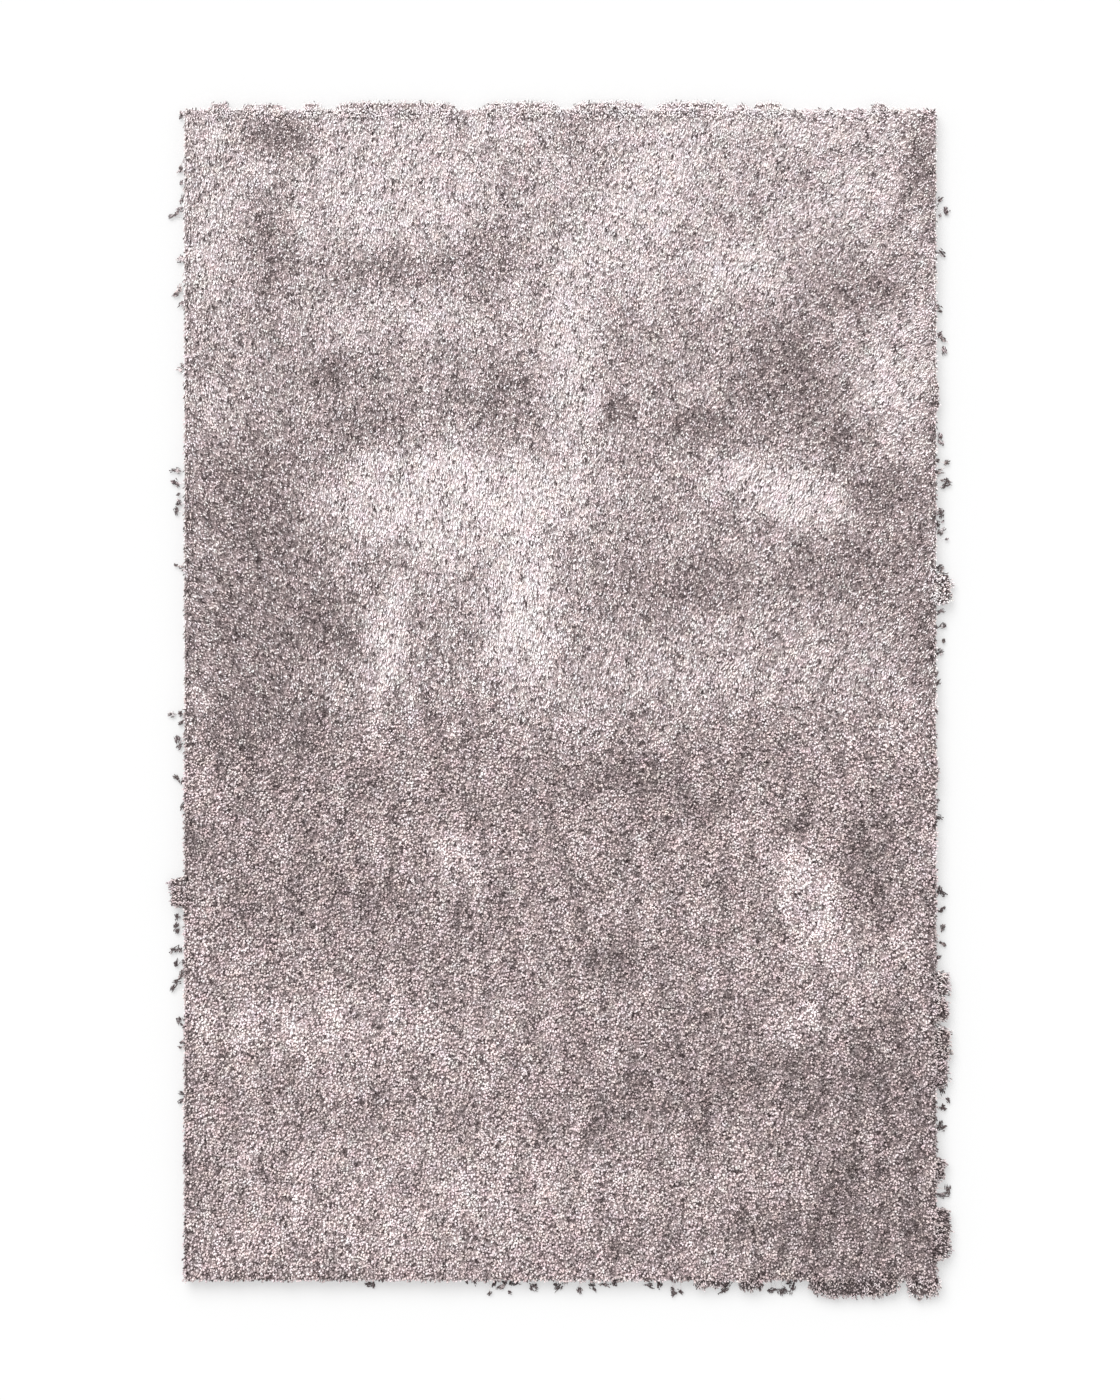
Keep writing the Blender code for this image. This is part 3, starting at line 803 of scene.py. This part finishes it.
def pile_base(material):
    """The dense pile below the yarns' tips: a closed mat with an uneven top."""
    columns = round((CLOTH_WIDTH - 2 * BASE_INSET) / BASE_STEP)
    rows = round((CLOTH_LENGTH - 2 * BASE_INSET) / BASE_STEP)
    bm = bmesh.new()
    bmesh.ops.create_grid(bm, x_segments=columns, y_segments=rows, size=0.5)
    for v in bm.verts:
        v.co.x = MIDDLE_X + v.co.x * (CLOTH_WIDTH - 2 * BASE_INSET)
        v.co.y = MIDDLE_Y + v.co.y * (CLOTH_LENGTH - 2 * BASE_INSET)
        bump = math.prod(math.sin(v.co.x * a + v.co.y * b) for a, b in BASE_WAVES)
        gaps = between(GAPS, brushed(v.co.x, v.co.y))
        drop = BASE_SHOULDER if v.is_boundary else 0
        v.co.z = pile_top(v.co.x, v.co.y) - gaps - drop + BASE_BUMPS * bump
    rim = [e for e in bm.edges if e.is_boundary]
    walls = bmesh.ops.extrude_edge_only(bm, edges=rim)["geom"]
    for v in walls:
        if isinstance(v, bmesh.types.BMVert):
            v.co.z = CLOTH_THICK + CLEAR
    bmesh.ops.contextual_create(bm, geom=[e for e in bm.edges if e.is_boundary])
    for lock in FULL_LOCKS:
        lock_mat(bm, lock)
    bmesh.ops.triangulate(bm, faces=[f for f in bm.faces if len(f.verts) > 4])
    bmesh.ops.recalc_face_normals(bm, faces=bm.faces)
    base = finished(bm, "pile_base", material)
    places = np.empty(3 * len(base.data.vertices))
    base.data.vertices.foreach_get("co", places)
    x, y, _ = places.reshape(-1, 3).T
    past_edge = (x < LEFT) | (x > RIGHT) | (y < NEAR) | (y > FAR)
    layer = base.data.attributes.new("tone_and_shading", "FLOAT", "POINT")
    tone_and_shading = np.clip(MIDDLE_TONE + SHINE_TONE * shine_at(x, y), 0, 1)
    # Past the cloth's edge the mats get painted shade in place of the pile's shading
    lock_mat_shading = np.where(y > FAR, FAR_MAT_TONE, LOCK_MAT_SHADE)
    layer.data.foreach_set("value", np.where(past_edge, lock_mat_shading, tone_and_shading))
    return base


def lock_mat(bm, lock):
    """Adds the closed mat of a full lock, over the cloth's edge and down to the floor."""
    off = np.linspace(-1, 1, 1 + round(2 * lock.half / LOCK_MAT_STEP))
    along = lock.middle + off * (lock.half - YARN_WIDTH)
    out = lock_out(lock, off)
    rings = []
    for share in np.linspace(-LOCK_BACK[lock.side], LOCK_MAT_END[lock.side], LOCK_MAT_ROWS):
        low = (CLOTH_THICK + CLEAR) * (1 - max(share, 0)) + CLEAR
        top = edge_places(lock.side, along, out * share, lock_top(share) / 2)
        under = edge_places(lock.side, along, out * share, low)
        rings.append([bm.verts.new(point) for point in (*top, *under[::-1])])
    for ring, following in zip(rings, rings[1:]):
        for i in range(len(ring)):
            bm.faces.new((ring[i - 1], ring[i], following[i], following[i - 1]))
    bm.faces.new(rings[0])
    bm.faces.new(rings[-1])


def ground_cloth(material):
    """The straight-cut cloth that the pile is tufted into."""
    bm = bmesh.new()
    corners = []
    for x_sign, y_sign in ((1, 1), (-1, 1), (-1, -1), (1, -1)):
        start = math.atan2(y_sign, x_sign) - math.pi / 4
        for step in range(CORNER_STEPS + 1):
            angle = start + math.pi / 2 * step / CORNER_STEPS
            x = x_sign * (CLOTH_WIDTH / 2 - CLOTH_CORNER) + CLOTH_CORNER * math.cos(angle)
            y = y_sign * (CLOTH_LENGTH / 2 - CLOTH_CORNER) + CLOTH_CORNER * math.sin(angle)
            corners.append(bm.verts.new((MIDDLE_X + x, MIDDLE_Y + y, 0)))
    under = bm.faces.new(corners)
    raised = bmesh.ops.extrude_face_region(bm, geom=[under])["geom"]
    for v in raised:
        if isinstance(v, bmesh.types.BMVert):
            v.co.z = CLOTH_THICK
    bmesh.ops.recalc_face_normals(bm, faces=bm.faces)
    return finished(bm, "ground_cloth", material)


def finished(bm, name, material):
    """An object made from the mesh being edited."""
    mesh = bpy.data.meshes.new(name)
    bm.to_mesh(mesh)
    bm.free()
    mesh.materials.append(material)
    mesh.shade_smooth()
    mesh.set_sharp_from_angle(angle=math.radians(SHARP_ANGLE))
    piece = bpy.data.objects.new(name, mesh)
    bpy.context.scene.collection.objects.link(piece)
    return piece


# Materials


def new_material(name):
    """A material, its nodes and its Principled shader."""
    material = bpy.data.materials.new(name)
    material.use_nodes = True
    return material, Nodes(material.node_tree), material.node_tree.nodes["Principled BSDF"]


def yarn_material():
    """Shiny yarn, each one in a tone of its own with painted sheen and shade, darker towards
    its root with painted shade.
    """
    material, nodes, shader = new_material("yarn")
    along = nodes.add("ShaderNodeAttribute", {"attribute_name": "along"}, {}, "Fac")
    tone_and_shading = nodes.add("ShaderNodeAttribute", {"attribute_name": "tone_and_shading"}, {}, "Fac")
    place = nodes.add("ShaderNodeTexCoord", {}, {}, "Object")
    strands = nodes.noise(place, STRAND_SIZE, detail=1)
    tone_and_shading = tone_and_shading + (strands - 0.5) * STRAND_TONE
    # Painted shade darkens each yarn towards its root
    lift = nodes.clamped(tone_and_shading * between((ROOT_SHADE, 1), along) * 2)
    low = nodes.mixed(lift, DARK_YARN_AND_SHADE, GREY_YARN)
    # The palest tones paint the sheen
    high = nodes.mixed(nodes.clamped((tone_and_shading - 0.5) * 2), low, PALE_YARN_AND_SHEEN)
    even = tuple(1 - tint / 2 for tint in YARN_TINTS)
    tints = {0: nodes.noise(place, TINT_SIZE, 3, "Color"), 1: YARN_TINTS, 2: even}
    tint = nodes.add("ShaderNodeVectorMath", {"operation": "MULTIPLY_ADD"}, tints)
    colour = nodes.vector("MULTIPLY", high, tint)
    rough = YARN_ROUGH - tone_and_shading * PALE_SMOOTH
    fibres = nodes.noise(place, FIBRE_SIZE, detail=2)
    bump = {"Strength": 0.4, "Distance": 0.0006, "Height": fibres}
    nodes.tree.links.new(colour.socket, shader.inputs["Base Color"])
    nodes.tree.links.new(rough.socket, shader.inputs["Roughness"])
    normal = nodes.add("ShaderNodeBump", {}, bump, "Normal")
    nodes.tree.links.new(normal.socket, shader.inputs["Normal"])
    shader.inputs["Sheen Weight"].default_value = 0.25
    shader.inputs["Sheen Roughness"].default_value = 0.4
    return material


def base_material():
    """The same yarn, seen deep in the pile, with painted shade in the gaps between the tufts
    and in its holes, lighter where the pile has painted sheen.
    """
    material, nodes, shader = new_material("deep_pile")
    place = nodes.add("ShaderNodeTexCoord", {}, {}, "Object")
    tone_and_shading = nodes.add("ShaderNodeAttribute", {"attribute_name": "tone_and_shading"}, {}, "Fac")
    upright = nodes.vector("MULTIPLY", place, (1, 1, DEEP_TUFT_WIDTH))
    tufts = nodes.noise(upright, DEEP_TUFT_SIZE, detail=2)
    light = nodes.clamped(tufts * DEEP_TUFT_EDGE - DEEP_TUFT_GAPS) * between(DEEP_LIGHT, tone_and_shading)
    holes = nodes.parted(place) * between(DEEP_HOLES, tone_and_shading)
    light = nodes.clamped(light) * (1.0 - holes)
    top = nodes.mixed(nodes.clamped(between(DEEP_PALE, tone_and_shading)), GREY_YARN, PALE_YARN_AND_SHEEN)
    # Painted shade in the gaps and holes, the tufts lit by the pile's painted sheen
    colour = nodes.mixed(light, DARK_YARN_AND_SHADE, top)
    bump = {"Strength": 1.0, "Distance": 0.002, "Height": tufts}
    normal = nodes.add("ShaderNodeBump", {}, bump, "Normal")
    nodes.tree.links.new(colour.socket, shader.inputs["Base Color"])
    nodes.tree.links.new(normal.socket, shader.inputs["Normal"])
    shader.inputs["Roughness"].default_value = 0.8
    return material


def cloth_material():
    """A plain weave of coarse thread."""
    material, nodes, shader = new_material("woven_cloth")
    place = nodes.add("ShaderNodeTexCoord", {}, {}, "Object")
    x = nodes.add("ShaderNodeSeparateXYZ", {}, {"Vector": place}, "X")
    y = nodes.add("ShaderNodeSeparateXYZ", {}, {"Vector": place}, "Y")
    rate = 2 * math.pi / WEAVE_STEP

    def wave(value):
        return nodes.add("ShaderNodeMath", {"operation": "SINE"}, {0: value * rate})

    threads = wave(x) * wave(y) * 0.5 + 0.5
    uneven = nodes.noise(place, UNEVEN_SIZE, detail=3)
    light = nodes.clamped(threads * THREADS_SHOW + uneven * UNEVEN_SHOWS)
    colour = nodes.mixed(light, CLOTH_DARK, CLOTH_COLOUR)
    bump = {"Strength": 0.8, "Distance": 0.0008, "Height": threads}
    normal = nodes.add("ShaderNodeBump", {}, bump, "Normal")
    nodes.tree.links.new(colour.socket, shader.inputs["Base Color"])
    nodes.tree.links.new(normal.socket, shader.inputs["Normal"])
    shader.inputs["Roughness"].default_value = 0.85
    return material


# The studio


def studio():
    """A white floor under soft light from the far left, seen from straight above."""
    scene = bpy.context.scene
    scene.view_settings.view_transform = "Standard"
    world = bpy.data.worlds.new("studio")
    scene.world = world
    world.use_nodes = True
    background = world.node_tree.nodes["Background"]
    background.inputs["Color"].default_value = WHITE
    background.inputs["Strength"].default_value = SKY_STRENGTH
    light = bpy.data.lights.new("window", "SUN")
    light.energy = SUN_STRENGTH
    light.angle = math.radians(SUN_SOFTNESS)
    window = bpy.data.objects.new("window", light)
    window.rotation_mode = "QUATERNION"
    window.rotation_quaternion = Vector(SUN_FROM).to_track_quat("Z", "Y")
    scene.collection.objects.link(window)
    bm = bmesh.new()
    bmesh.ops.create_grid(bm, x_segments=1, y_segments=1, size=FLOOR_SIZE / 2)
    material, _, shader = new_material("floor")
    shader.inputs["Base Color"].default_value = FLOOR_COLOUR
    shader.inputs["Roughness"].default_value = 0.9
    shader.inputs["Specular IOR Level"].default_value = 0.0
    shader.inputs["Emission Color"].default_value = WHITE
    shader.inputs["Emission Strength"].default_value = FLOOR_GLOW
    floor = finished(bm, "floor", material)
    floor.data.transform(Matrix.Translation((0, 0, -FLOOR_DROP)))
    camera = bpy.data.objects.new("camera", bpy.data.cameras.new("camera"))
    camera.data.lens = LENS_MM
    camera.data.sensor_width = SENSOR_MM
    camera.location = (0, 0, PHOTO_LEVEL + PHOTO_SPAN * LENS_MM / SENSOR_MM)
    scene.collection.objects.link(camera)
    scene.camera = camera


def main():
    studio()
    yarn = yarn_material()
    tree = yarn_tree()
    values = {"Yarn width": YARN_WIDTH, "Jitter": JITTER, "Material": yarn}
    pile = []
    chance = np.random.default_rng(SEED)
    for strip in range(STRIPS):
        roots, yarns = pile_lie(*strip_places(strip), chance)
        name = f"pile_strip_{strip + 1}"
        values["Seed"] = SEED + STRIP_SEEDS * strip
        pile.append(set_yarns(name, roots, yarns, tree, values))
    roots, yarns = lock_yarns()
    values["Jitter"] = 0.0
    pile.append(set_yarns("edge_locks", roots, yarns, tree, values))
    pile.append(pile_base(base_material()))
    cloth = ground_cloth(cloth_material())
    for piece in pile:
        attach(piece, "root")
        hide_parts("rug")
    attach(cloth, "root")
    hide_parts("rug")


main()
